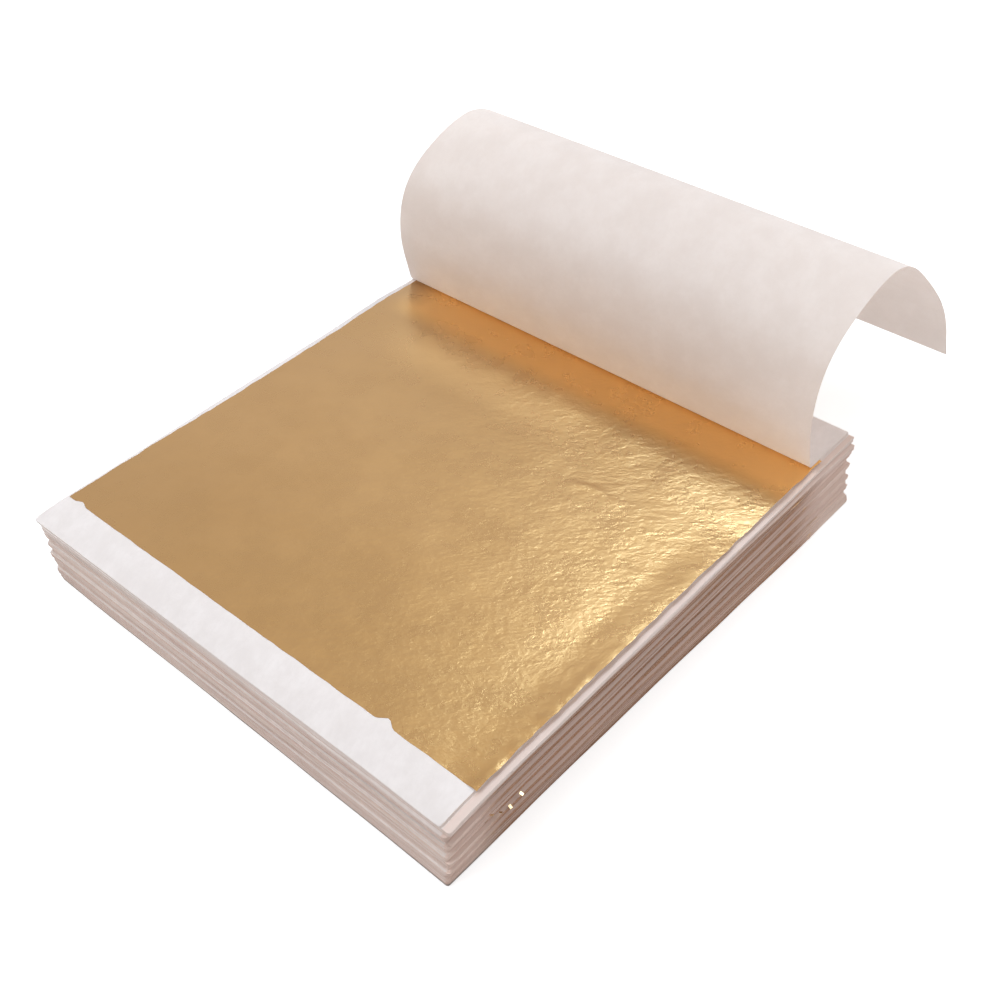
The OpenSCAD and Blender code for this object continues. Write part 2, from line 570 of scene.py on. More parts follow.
@dataclass(frozen=True)
class CutEdgeFinish:
    """The guillotined edges of the tissues, browner than their faces, with a fine grain along the cut.

    Attributes:
        name: The material's name.
        pale: The colour of the paler sheets' edges.
        brown: The colour of the darker sheets' edges.
        top: Their colour up at the open tissue: painted light, paler where the upper layers' edges catch more
            light.
        contact_shadow: Their colour down at the table along the front: painted contact shadow.
        leaf_edge_and_shade_pale: Their paler colour along the right side, where the edges of the leaves show
            between them, also darkened there as painted shade.
        leaf_edge_and_shade_brown: Their darker colour there, with the same painted shade.
    """

    name: str
    pale: Colour
    brown: Colour
    top: Colour
    contact_shadow: Colour
    leaf_edge_and_shade_pale: Colour
    leaf_edge_and_shade_brown: Colour

    def make(self) -> bpy.types.Material:
        """Returns the material."""
        n = Nodes(self.name)
        x, y, z = n.axes
        fine = n.remap(n.noise(120, 3, 0.7, (3.3, 3.3, 1 / 18)), 0.35, 0.68)
        broad = n.remap(n.noise(60, 2, 0.5, (2, 2, 1 / 8)), 0.38, 0.62)
        layers = n.maths("ADD", n.both(fine, 0.55), n.both(broad, 0.45))
        colour = n.blend_colours(layers, self.pale, self.brown)
        # Painted light: paler towards the top, where the upper layers' edges catch more light.
        colour = n.blend_colours(n.remap(z, 10.4 * MM, 13.6 * MM), colour, self.top)
        span = n.both(n.remap(y, -44 * MM, -36 * MM), n.remap(y, 41 * MM, 30 * MM))
        below = n.both(span, n.remap(z, 12.55 * MM, 12.2 * MM))
        # The leaves' edges tint the right side, and its colour there is also darkened as painted shade.
        leaf_edges_and_shade = n.both(n.remap(x, 40.5 * MM, 42 * MM), below)
        colour = n.blend_colours(leaf_edges_and_shade, colour, n.blend_colours(layers, self.leaf_edge_and_shade_pale, self.leaf_edge_and_shade_brown))
        # Painted contact shadow: darker at the foot of the front.
        low = n.both(n.remap(z, 1.0 * MM, 0.5 * MM, 0.0, 0.85), n.remap(y, -36 * MM, -43 * MM))
        colour = n.blend_colours(low, colour, self.contact_shadow)
        relief = n.bump(n.noise(2200, 3, 0.6), 0.03 * MM, 0.6)
        return n.finish(n.surface(Base_Color=colour, Roughness=0.9, Specular_IOR_Level=0.2, Normal=relief))


@dataclass(frozen=True)
class GoldFinish:
    """Beaten metal leaf: satin, finely crinkled, more so towards the right where it has been touched.

    Attributes:
        name: The material's name.
        gold: Its colour.
        warm: Its colour in redder patches.
        deep: Its colour towards the open edge: painted shade, where the leaf's reflection grows darker
            towards the front.
        pale: Its colour in a streak before the fold: a painted reflection, lighter where the leaf mirrors the
            raised page.
        fold_reflection: Its colour towards the fold: a painted reflection, brighter and redder where the leaf
            mirrors the raised page.
        crinkle: How deep the crinkles are.
        roughness: Its mean roughness.
    """

    name: str
    gold: Colour
    warm: Colour
    deep: Colour
    pale: Colour
    fold_reflection: Colour
    crinkle: float
    roughness: float

    def make(self) -> bpy.types.Material:
        """Returns the material."""
        n = Nodes(self.name)
        x, y, _ = n.axes
        rightward = n.remap(x, -34 * MM, 20 * MM, 0.25, 1.0)
        middle = n.both(n.remap(x, -38 * MM, -24 * MM), n.remap(x, 18 * MM, 2 * MM))
        mirrored_page_streak = n.both(n.remap(y, 13 * MM, 22 * MM, 0.0, 0.85), middle)
        mirrored_page_mask = n.both(n.remap(y, 25 * MM, 30.5 * MM), n.remap(x, -42 * MM, -34 * MM))
        front_shade_mask = n.remap(y, -8 * MM, -36 * MM, 0.0, 0.4)
        wrinkles = n.noise(480, 3, 0.5, (1.8, 1, 1), 41, 0.35)
        pebble = n.noise(1500, 3, 0.55, (1.4, 1, 1), 41, 0.3)
        patches = n.remap(n.noise(60, 3, 0.6), 0.35, 0.7)
        colour = n.blend_colours(n.both(patches, 0.6), self.gold, self.warm)
        # Painted shade: darker towards the front, where the leaf's reflection grows darker.
        colour = n.blend_colours(front_shade_mask, colour, self.deep)
        # Painted reflection: a lighter streak before the fold, where the leaf mirrors the raised page.
        colour = n.blend_colours(mirrored_page_streak, colour, self.pale)
        # Painted reflection: brighter and redder towards the fold, where the leaf mirrors the raised page,
        # fading out at the left end past the page.
        colour = n.blend_colours(mirrored_page_mask, colour, self.fold_reflection)
        rough = n.maths("ADD", n.remap(n.noise(180, 4, 0.65), 0.3, 0.7, -0.04, 0.05), self.roughness)
        relief = n.bump(n.noise(52, 2, 0.5, (1, 1, 1), 15, 0.4), self.crinkle * 9, 0.8)
        relief = n.bump(n.both(wrinkles, rightward), self.crinkle * 2.9, 0.9, relief)
        relief = n.bump(n.both(pebble, rightward), self.crinkle * 1.7, 0.9, relief)
        return n.finish(n.surface(Base_Color=colour, Metallic=1.0, Roughness=rough, Coat_Weight=1.0,
                                  Coat_Roughness=0.24, Normal=relief, Coat_Normal=relief))


@dataclass(frozen=True)
class WireFinish:
    """Galvanised stitching wire, with fine draw lines and small dull spots.

    Attributes:
        name: The material's name.
        bright: Its colour.
        dull: The colour of its spots.
    """

    name: str
    bright: Colour
    dull: Colour

    def make(self) -> bpy.types.Material:
        """Returns the material."""
        n = Nodes(self.name)
        spots = n.remap(n.noise(2200, 4, 0.6), 0.5, 0.72)
        colour = n.blend_colours(spots, self.bright, self.dull)
        rough = n.remap(spots, 0.0, 1.0, 0.28, 0.48)
        relief = n.bump(n.noise(5200, 2, 0.5, (4, 1, 1)), 0.012 * MM, 0.5)
        return n.finish(n.surface(Base_Color=colour, Metallic=1.0, Roughness=rough, Normal=relief))


@dataclass(frozen=True)
class GroundFinish:
    """A pale stage surface that is white to the camera, to metal and behind glass, and keeps shadows.

    Attributes:
        name: The material's name.
        colour: How it renders to the light on the object.
        lift: How much white it adds for the camera.
    """

    name: str
    colour: Colour
    lift: float

    def make(self) -> bpy.types.Material:
        """Returns the material."""
        n = Nodes(self.name)
        ground = n.surface(Base_Color=(*self.colour, 1.0), Roughness=0.95, Specular_IOR_Level=0.0)
        lifted = n.add("ShaderNodeAddShader")
        n.feed(lifted.inputs[0], ground)
        n.feed(lifted.inputs[1], n.white_light("ShaderNodeEmission", self.lift))
        return n.finish(n.blend_shaders(n.looked_at(), ground, lifted.outputs[0]))


@dataclass
class Finishes:
    """All finishes of the booklet, made once."""

    tissue: bpy.types.Material = field(default_factory=lambda: TissueFinish(
        "tissue", (0.96, 0.89, 0.865), (0.85, 0.775, 0.745), (0.88, 0.78, 0.72), 0.07).make())
    page: bpy.types.Material = field(default_factory=lambda: TissueFinish(
        "raised_tissue", (0.935, 0.898, 0.875), (0.84, 0.787, 0.754), (0.95, 0.87, 0.82), 0.42,
        (0.93, 0.892, 0.868)).make())
    cut: bpy.types.Material = field(default_factory=lambda: CutEdgeFinish(
        "tissue_cut_edge", (0.97, 0.77, 0.67), (0.74, 0.52, 0.44), (0.96, 0.83, 0.77), (0.30, 0.26, 0.24),
        (0.52, 0.285, 0.18), (0.30, 0.15, 0.085)).make())
    gold: bpy.types.Material = field(default_factory=lambda: GoldFinish(
        "open_gold_leaf", (0.47, 0.260, 0.085), (0.44, 0.236, 0.070), (0.36, 0.190, 0.050),
        (0.62, 0.365, 0.135), (0.86, 0.50, 0.155), 0.03 * MM, 0.29).make())
    gold_edge: bpy.types.Material = field(default_factory=lambda: GoldFinish(
        "gold_leaf_edges", (0.62, 0.40, 0.19), (0.46, 0.27, 0.13), (0.40, 0.22, 0.10), (0.60, 0.38, 0.18),
        (0.60, 0.36, 0.16), 0.03 * MM, 0.42).make())
    # The scraps' near-white colours are painted glints, brighter than the same leaf elsewhere, so that the
    # bits glint.
    scrap: bpy.types.Material = field(default_factory=lambda: GoldFinish(
        "leaf_scraps", (1.0, 0.86, 0.52), (0.90, 0.70, 0.36), (1.0, 0.84, 0.50), (1.0, 0.84, 0.50),
        (0.98, 0.80, 0.46), 0.01 * MM, 0.25).make())
    wire: bpy.types.Material = field(default_factory=lambda: WireFinish(
        "stitching_wire", (0.56, 0.57, 0.58), (0.36, 0.36, 0.36)).make())


# What the CAD says


@dataclass(frozen=True)
class Bed:
    """Where one rectangular sheet of the CAD lies: its middle, its turn about Z and its lowest height."""

    middle: Vector
    turn: float
    low: float

    @classmethod
    def of_points(cls, points: list[Vector]) -> Bed:
        """Reads the bed of a rectangle from points that include its corners."""
        ways = ((-1, -1), (1, -1), (1, 1), (-1, 1))
        corners = [max(points, key=lambda p, a=a, b=b: a * p.x + b * p.y) for a, b in ways]
        middle = sum((c.xy for c in corners), Vector((0.0, 0.0))) / 4
        front = corners[1] - corners[0]
        return cls(Vector((middle.x, middle.y, 0.0)), math.atan2(front.y, front.x), min(p.z for p in points))


def beds_of(node: str, pitch: float) -> list[Bed]:
    """The beds of the sheets that are stacked in one CAD node.

    Args:
        node: The node's name.
        pitch: The height from one sheet to the next.

    Returns:
        A bed for each sheet, lowest first.
    """
    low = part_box(node)[0].z
    slack = 0.02
    layers: dict[int, list[Vector]] = {}
    for point in (v.co for v in bpy.data.objects[node].data.vertices):
        layers.setdefault(int((point.z - low) / pitch + slack), []).append(point.copy())
    return [Bed.of_points(layers[i]) for i in sorted(layers) if len(layers[i]) >= 4]


# The pad


@dataclass
class Settling:
    """How the pad has settled: one lattice bends all its sheets alike, so that none cuts another.

    Attributes:
        droop: How far the front right corner of the top sheets hangs.
        roll: How far the front edge of the top sheets rolls over.
        lift: How far the open tissue rises off the pad with its leaf, by the edge and before the fold.
        top: The height of the pad.
        room: The lattice's size across and along, which holds the whole pad.
        knots: How many points the lattice has across, along and up.
        hold: How fast the settling fades further down.
        lattice: What bends the sheets, once it is built.
    """

    droop: float = 0.55 * MM
    roll: float = 0.75 * MM
    lift: float = 0.32 * MM
    top: float = 13.99 * MM
    room: tuple[float, float] = (92 * MM, 101 * MM)
    knots: tuple[int, int, int] = (31, 61, 7)
    hold: float = 1.6
    lattice: bpy.types.Object | None = None

    def build(self) -> None:
        """Makes the lattice and moves its points."""
        put_down()
        bpy.ops.object.add(type="LATTICE", location=(0.0, 0.0, self.top / 2))
        self.lattice = bpy.context.object
        self.lattice.name = "settling"
        size = Vector((*self.room, self.top))
        self.lattice.scale = size
        cage = self.lattice.data
        cage.points_u, cage.points_v, cage.points_w = self.knots
        for point in cage.points:
            x, y = point.co.x * size.x, point.co.y * size.y
            up = point.co.z + 0.5
            point.co_deform = point.co + Vector((0, 0, -self.fall(x, y) * up ** self.hold / size.z))
        bpy.context.view_layer.update()

    def fall(self, x: float, y: float) -> float:
        """How far the top of the pad falls at a place.

        Args:
            x: Across, from the middle.
            y: Along, from the middle.

        Returns:
            The fall, in metres.
        """
        corner = ease(-math.hypot(x - 45 * MM, y + 48 * MM), -16 * MM, -1 * MM)
        front = ease(-y, 44.4 * MM, 48.6 * MM)
        wave = 0.5 + 0.5 * math.sin(x / (17 * MM) + 0.8)
        return self.droop * corner + self.roll * front * (0.7 + 0.3 * wave)

    def rise(self, place: Vector) -> float:
        """How much the open tissue rises: along its right edge, and in a low swell before the fold."""
        x, y = place.x / MM, place.y / MM
        edge = ease(x, 37.5, 43.5) * ease(y, -44, -20) * (1 - ease(y, 2, 20))
        swell = ease(y, 15, 27) * (1 - ease(y, 27.5, 35.5))
        return max(edge, swell)

    def bend(self, obj: bpy.types.Object, loose: bool = False) -> None:
        """Bends one piece of the pad with the lattice.

        Args:
            obj: The piece.
            loose: Whether it lies open, and so rises off the pad in places.
        """
        take(obj)
        modifier = obj.modifiers.new("settling", "LATTICE")
        modifier.object = self.lattice
        bpy.ops.object.modifier_apply(modifier=modifier.name)
        if loose:
            press(obj, "lift", Axis.UP, self.lift, self.rise)

    def clear(self) -> None:
        """Takes the lattice away."""
        discard(self.lattice)


@dataclass(frozen=True)
class Profile:
    """A value of the pad that changes with the height, in straight runs.

    Attributes:
        knots: The height in millimetres and the value of each knot, lowest first.
    """

    knots: tuple[tuple[float, float], ...]

    def at(self, height: float) -> float:
        """The value at a height in metres."""
        z = height / MM
        for (low, near), (high, far) in zip(self.knots, self.knots[1:]):
            if z <= high:
                return near + (far - near) * (z - low) / (high - low)
        return self.knots[-1][1]


@dataclass
class TissuePad:
    """The closed tissues: folded sheets in packets, with strata where they were knocked up apart.

    Attributes:
        width: A folded tissue's size across.
        length: Its size from the open edge to the fold.
        pitch: The height from one tissue to the next.
        ply: The thickness of one ply.
        gap: The height from one ply's middle to the next.
        corner: How round its open corners are.
        packets: How many packets there are.
        cells: How many squares a sheet's edge has.
        right: How far the right side stands out halfway along, in millimetres.
        front: How far the front stands out halfway across, in millimetres.
        turn: How far the sheets are turned, in degrees.
        splay: How far the lowest sheets are splayed to the right towards the fold.
        stray: How far a sheet strays across and along, either way, in millimetres.
        rest: How high a sheet lies above the foot of its bed.
        strata: How its layers bow and wave.
    """

    width: float = 86 * MM
    length: float = 95 * MM
    pitch: float = 0.14 * MM
    ply: float = 0.056 * MM
    gap: float = 0.068 * MM
    corner: float = 0.4 * MM
    packets: int = 10
    cells: int = 26
    right: Profile = Profile((
        (0.0, 43.85), (0.5, 43.95), (1.5, 44.0), (1.6, 43.6), (2.2, 43.6), (2.7, 43.9), (3.4, 44.05),
        (3.5, 43.55), (4.2, 43.55), (4.8, 43.9), (5.6, 44.05), (5.7, 43.5), (6.4, 43.5), (7.0, 43.9),
        (7.8, 44.1), (7.9, 43.5), (8.6, 43.5), (9.2, 43.9), (10.0, 44.1), (10.1, 43.45), (10.9, 43.45),
        (11.1, 44.2), (12.2, 44.35), (12.3, 44.15), (13.35, 44.35), (13.45, 43.05), (14.0, 43.0)))
    front: Profile = Profile((
        (0.0, 47.1), (0.5, 47.25), (0.9, 47.35), (3.2, 47.4), (3.35, 47.05), (4.0, 47.05), (4.8, 47.35),
        (6.8, 47.4), (6.95, 47.05), (7.6, 47.05), (8.4, 47.35), (9.5, 47.4), (9.65, 47.1), (10.2, 47.1),
        (11.0, 47.35), (14.0, 47.5)))
    turn: Profile = Profile((
        (0.0, -0.7), (2.0, -0.5), (9.9, 0.1), (10.9, -0.1), (11.1, -0.42), (12.2, -0.42), (12.3, 0.2),
        (13.35, 0.2), (13.45, 0.0), (14.0, 0.0)))
    splay: float = 0.4 * MM
    stray: tuple[float, float] = (0.05, 0.04)
    rest: float = 0.004 * MM
    strata: tuple[Ripple, ...] = (
        Ripple("edge_bow", (34 * MM, 30 * MM, 5 * MM), 0.16 * MM, Axis.ACROSS, 1),
        Ripple("edge_lines", (16 * MM, 14 * MM, 0.35 * MM), 0.08 * MM, Axis.ACROSS, 1, (3 * MM, 0, 0)),
        Ripple("front_bow", (30 * MM, 34 * MM, 5 * MM), 0.15 * MM, Axis.ALONG, 1, (0, 7 * MM, 0)),
        Ripple("loose_layers", (15 * MM, 15 * MM, 2.4 * MM), 0.12 * MM, Axis.UP, 1, (5 * MM, 5 * MM, 0)),
    )

    def seat(self, bed: Bed) -> Bed:
        """Where the sheet of one CAD bed lies after the pad was knocked up and handled.

        Args:
            bed: The sheet's bed in the CAD.

        Returns:
            Its own bed, with the sides of the pad at their profiles.
        """
        across = self.right.at(bed.low) * MM - self.width / 2
        along = self.length / 2 - self.front.at(bed.low) * MM
        return Bed(Vector((across, along, 0.0)), math.radians(self.turn.at(bed.low)), bed.low)

    def splayed(self, place: Vector) -> float:
        """How much a point of the right side is splayed: fully at the table and towards the fold."""
        x, y, z = place / MM
        return ease(x, 38, 42) * ease(y, -8, 24) * (1 - ease(z, 0.8, 2.4))

    def folded_sheet(self) -> bpy.types.Object:
        """Models one folded tissue: two plies that are joined by a rounded fold at the back.

        Returns:
            The tissue about the origin, on Z 0.
        """
        lower = (0, 0, self.ply / 2)
        sheet = flat_sheet("folded_tissue", self.width, self.length, self.cells, self.cells, lower)
        merge_middle(sheet, self.width, self.length, self.cells)
        round_front(sheet, self.corner)
        select_points(sheet, lambda p: True)
        bpy.ops.mesh.duplicate_move(TRANSFORM_OT_translate={"value": (0, 0, self.gap)})
        back = self.length / 2 - HAIR
        select_points(sheet, lambda p: p.y > back)
        bpy.ops.mesh.select_mode(type="EDGE")
        bpy.ops.mesh.bridge_edge_loops(number_cuts=1)
        middle = self.ply / 2 + self.gap / 2
        select_points(sheet, lambda p: p.y > back and abs(p.z - middle) < self.gap / 8)
        bpy.ops.transform.translate(value=(0, self.gap / 2, 0))
        face_outwards()
        mark(sheet, RIM, lambda p: abs(p.x) > self.width / 2 - 1.4 * MM or abs(p.y) > back - 1.4 * MM)
        return sheet

    def build(self, finishes: Finishes, settling: Settling) -> list[bpy.types.Object]:
        """Builds all the packets.

        Args:
            finishes: The booklet's finishes.
            settling: How the pad has settled.

        Returns:
            The packets.
        """
        master = wear(self.folded_sheet(), finishes.tissue, finishes.cut)
        give_thickness(master, self.ply, edge_slot=1)
        rng = random.Random(41)
        made = []
        for k in range(1, self.packets + 1):
            node = f"tissue_packet_{k}"
            copies = []
            for bed in map(self.seat, beds_of(node, self.pitch)):
                across, along = (rng.uniform(-far, far) * MM for far in self.stray)
                stray = Vector((across, along, bed.low + self.rest))
                copies.append(twin(master, bed.turn, bed.middle + stray))
            packet = join(f"tissues_{k}", copies)
            self.shape(packet, settling, 1 < k < self.packets)
            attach(packet, "booklet")
            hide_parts(node)
            made.append(packet)
        discard(master)
        return made

    def shape(self, packet: bpy.types.Object, settling: Settling, loose: bool) -> None:
        """Lays the strata on a packet and settles it.

        Args:
            packet: The joined sheets.
            settling: How the pad has settled.
            loose: Whether its rim waves up and down, as it does between the lowest packet and the topmost.
        """
        for ripple in self.strata:
            if ripple.axis is not Axis.UP:
                ripple.lay_on(packet)
            elif loose:
                ripple.lay_on(packet, RIM)
        press(packet, "splay", Axis.ACROSS, self.splay, self.splayed)
        settling.bend(packet)
        smooth(packet)


@dataclass
class LeafPackets:
    """The leaves inside the closed tissues, of which only the edges show.

    Attributes:
        width: A leaf's size across.
        length: Its size along.
        cells: How many squares a leaf's edge has.
        thickness: The thickness of a leaf.
        to_right: How far right of its tissue's middle a leaf lies.
        to_front: How far behind its tissue's middle a leaf lies, less than 0 where it is in front.
        rest: How high a leaf lies above the foot of its bed.
        ragged: How torn its edges are.
    """

    width: float = 85 * MM
    length: float = 80 * MM
    cells: int = 30
    thickness: float = 0.008 * MM
    to_right: float = 0.30 * MM
    to_front: float = -1.1 * MM
    rest: float = 0.008 * MM
    ragged: Ripple = Ripple("torn_edges", (2.4 * MM, 1.9 * MM, 0.16 * MM), 0.34 * MM, Axis.ACROSS, 2)

    def build(self, finishes: Finishes, pad: TissuePad, settling: Settling) -> list[bpy.types.Object]:
        """Builds all the packets of leaves.

        Args:
            finishes: The booklet's finishes.
            pad: The tissues that they lie in, whose strata they follow.
            settling: How the pad has settled.

        Returns:
            The packets.
        """
        master = flat_sheet("gold_leaf", self.width, self.length, self.cells, self.cells)
        merge_middle(master, self.width, self.length, self.cells)
        mark(master, RIM, lambda p: abs(p.x) > self.width / 2 - HAIR or abs(p.y) > self.length / 2 - HAIR)
        wear(master, finishes.gold_edge)
        give_thickness(master, self.thickness)
        made = []
        for k in range(1, pad.packets + 1):
            node = f"leaf_packet_{k}"
            copies = []
            for bed in map(pad.seat, beds_of(node, pad.pitch)):
                place = bed.middle + Vector((self.to_right, self.to_front, bed.low + self.rest))
                copies.append(twin(master, bed.turn, place))
            packet = join(f"leaves_{k}", copies)
            self.ragged.lay_on(packet, RIM)
            pad.shape(packet, settling, 1 < k < pad.packets)
            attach(packet, "booklet")
            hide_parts(node)
            made.append(packet)
        discard(master)
        return made


def yield_to_page(piece: bpy.types.Object) -> None:
    """Gives a piece that has lifted off the pad its own copy of its mesh."""
    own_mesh(piece)


@dataclass
class OpenTissue:
    """The lower ply of the open tissue, which carries the open leaf, with the bound strip of its upper ply.

    Attributes:
        width: The tissue's size across.
        length: Its size from the open edge to the fold.
        strip: The depth of the bound strip, from the fold to the crease.
        ply: The thickness of a ply.
        solid_ply: The thickness of a ply in the CAD, which keeps clear of its neighbours.
        joint_back: How far behind the crease the raised page's own piece starts.
        corner: How round its open corners are.
        across: How many squares it has across.
        along: How many squares it has along.
        strip_rows: How many squares the strip has along.
    """

    width: float = 86 * MM
    length: float = 95 * MM
    strip: float = 11.4 * MM
    ply: float = 0.05 * MM
    solid_ply: float = 0.055 * MM
    joint_back: float = 0.8 * MM
    corner: float = 0.8 * MM
    across: int = 86
    along: int = 95
    strip_rows: int = 11

    def build(self, finishes: Finishes, settling: Settling) -> bpy.types.Object:
        """Builds the tissue.

        Args:
            finishes: The booklet's finishes.
            settling: How the pad has settled.

        Returns:
            The tissue.
        """
        low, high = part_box("open_folio")
        under, over = low.z + self.solid_ply / 2, high.z - self.solid_ply / 2
        sheet = flat_sheet("open_tissue", self.width, self.length, self.across, self.along, (0, 0, under))
        round_front(sheet, self.corner)
        select_points(sheet, lambda p: p.y > self.length / 2 - HAIR)
        rise = over - under
        for back, up in ((0.5, 0.25), (0.0, 0.5), (-0.5, 0.25)):
            extrude((0, back * rise, up * rise))
        for _ in range(self.strip_rows):
            extrude((0, (self.joint_back - self.strip) / self.strip_rows, 0))
        face_outwards()
        wear(sheet, finishes.tissue, finishes.cut)
        give_thickness(sheet, self.ply, edge_slot=1)
        settling.bend(sheet, loose=True)
        smooth(sheet)
        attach(sheet, "booklet")
        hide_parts("open_folio")
        yield_to_page(sheet)
        return sheet


@dataclass
class OpenLeaf:
    """The leaf that lies open on its tissue: ragged, nicked and finely crinkled.

    Attributes:
        cells: How many squares it has across and along.
        thickness: Its thickness.
        nicks: For each nick in the front edge, its middle from the left, its half width and its depth.
        reach: How much further it reaches on the right, and on the left towards the front.
        pucker: How high the arched crease near the back right stands.
        rest: How high it lies above the foot of its bed.
        torn_band: How far in from its edges it is torn.
        torn: How ragged its sides and its ends are.
        curl: How its right edge curls up towards the front.
    """

    cells: tuple[int, int] = (170, 160)
    thickness: float = 0.008 * MM
    nicks: tuple[Place, ...] = ((2.6 * MM, 1.2 * MM, 0.6 * MM), (69.2 * MM, 1.6 * MM, 1.1 * MM))
    reach: float = 0.5 * MM
    pucker: float = 0.09 * MM
    rest: float = 0.016 * MM
    torn_band: float = 0.4 * MM
    torn: tuple[Ripple, ...] = (
        Ripple("torn_sides", (3.2 * MM, 2.6 * MM, 50 * MM), 0.16 * MM, Axis.ACROSS, 3),
        Ripple("torn_ends", (3.0 * MM, 3.2 * MM, 50 * MM), 0.10 * MM, Axis.ALONG, 3, (9 * MM, 0, 0)),
    )
    curl: Ripple = Ripple("curled_edge", (2.6 * MM, 2.2 * MM, 50 * MM), 0.16 * MM, Axis.UP, 2, still=0.2)

    def arch(self, place: Vector) -> float:
        """How much of the arched crease a point of the leaf takes: a low ridge that bends like a brow."""
        across, along = place.x / MM - 21.0, place.y / MM - 10.0
        ridge = abs(along - 1.6 + 0.055 * across * across)
        return (1 - ease(ridge, 0.0, 1.1)) * (1 - ease(abs(across), 2.5, 6.5))

    def build(self, finishes: Finishes, settling: Settling) -> bpy.types.Object:
        """Builds the leaf.

        Args:
            finishes: The booklet's finishes.
            settling: How the pad has settled.

        Returns:
            The leaf.
        """
        bed = Bed.of_points([v.co.copy() for v in bpy.data.objects["open_leaf"].data.vertices])
        low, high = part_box("open_leaf")
        width, length = high.x - low.x, high.y - low.y
        leaf = flat_sheet("open_gold_leaf", width, length, *self.cells)
        side, end = width / 2, length / 2
        for at, half, deep in self.nicks:
            press(leaf, "nick", Axis.ALONG, deep,
                  lambda p: max(0.0, 1 - abs(p.x - at + side) / half) * (1 - ease(p.y + end, 0.0, 4 * MM)))
        press(leaf, "right_reach", Axis.ACROSS, self.reach, lambda p: ease(p.x, side - 6 * MM, side))
        press(leaf, "left_reach", Axis.ACROSS, -self.reach,
              lambda p: ease(-p.x, side - 6 * MM, side) * (1 - ease(p.y, -26 * MM, -8 * MM)))
        mark(leaf, "sides", lambda p: side - abs(p.x) < self.torn_band)
        mark(leaf, "ends", lambda p: end - abs(p.y) < self.torn_band)
        mark(leaf, "curled", lambda p: ease(p.x, side - 1.3 * MM, side) * ease(-p.y, 6 * MM, 20 * MM))
        leaf.matrix_world = Matrix.Translation((low.x + side, low.y + end, bed.low + self.rest))
        bake_place(leaf)
        press(leaf, "arch", Axis.UP, self.pucker, self.arch)
        for ripple, name in zip((*self.torn, self.curl), ("sides", "ends", "curled")):
            ripple.lay_on(leaf, name)
        wear(leaf, finishes.gold)
        give_thickness(leaf, self.thickness)
        settling.bend(leaf, loose=True)
        smooth(leaf, 60)
        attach(leaf, "loose_leaf")
        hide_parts("open_leaf")
        yield_to_page(leaf)
        return leaf


@dataclass
class LeafScraps:
    """Torn bits of leaf that stick out from between the tissues on the right side, near the front.

    Attributes:
        places: Where the middle of each bit is, in millimetres, and its turn about Z, in radians.
        side: A bit's length.
        lean: How far it hangs to the right, in degrees.
        thickness: Its thickness.
        crumple: How crumpled it is.
    """

    places: tuple[tuple[float, float, float, float], ...] = (
        (44.3, -34.0, 6.4, 0.3), (44.25, -36.2, 5.9, -0.1), (44.2, -38.0, 6.6, 2.2), (44.2, -39.6, 7.8, 2.7))
    side: float = 0.55 * MM
    lean: float = 30.0
    thickness: float = 0.01 * MM
    crumple: Ripple = Ripple("crumple", (0.7 * MM, 0.6 * MM, 0.6 * MM), 0.03 * MM, Axis.UP, 2)

    def build(self, finishes: Finishes) -> bpy.types.Object:
        """Builds the scraps.

        Args:
            finishes: The booklet's finishes.

        Returns:
            The scraps, as one piece.
        """
        master = flat_sheet("scrap", self.side, 0.8 * self.side, 6, 5)
        master.rotation_euler.y = math.radians(self.lean)
        bake_place(master)
        bits = [twin(master, turn, Vector(place) * MM) for *place, turn in self.places]
        scraps = wear(join("leaf_scraps", bits), finishes.scrap)
        discard(master)
        self.crumple.lay_on(scraps)
        give_thickness(scraps, self.thickness)
        smooth(scraps, 60)
        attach(scraps, "booklet")
        return scraps


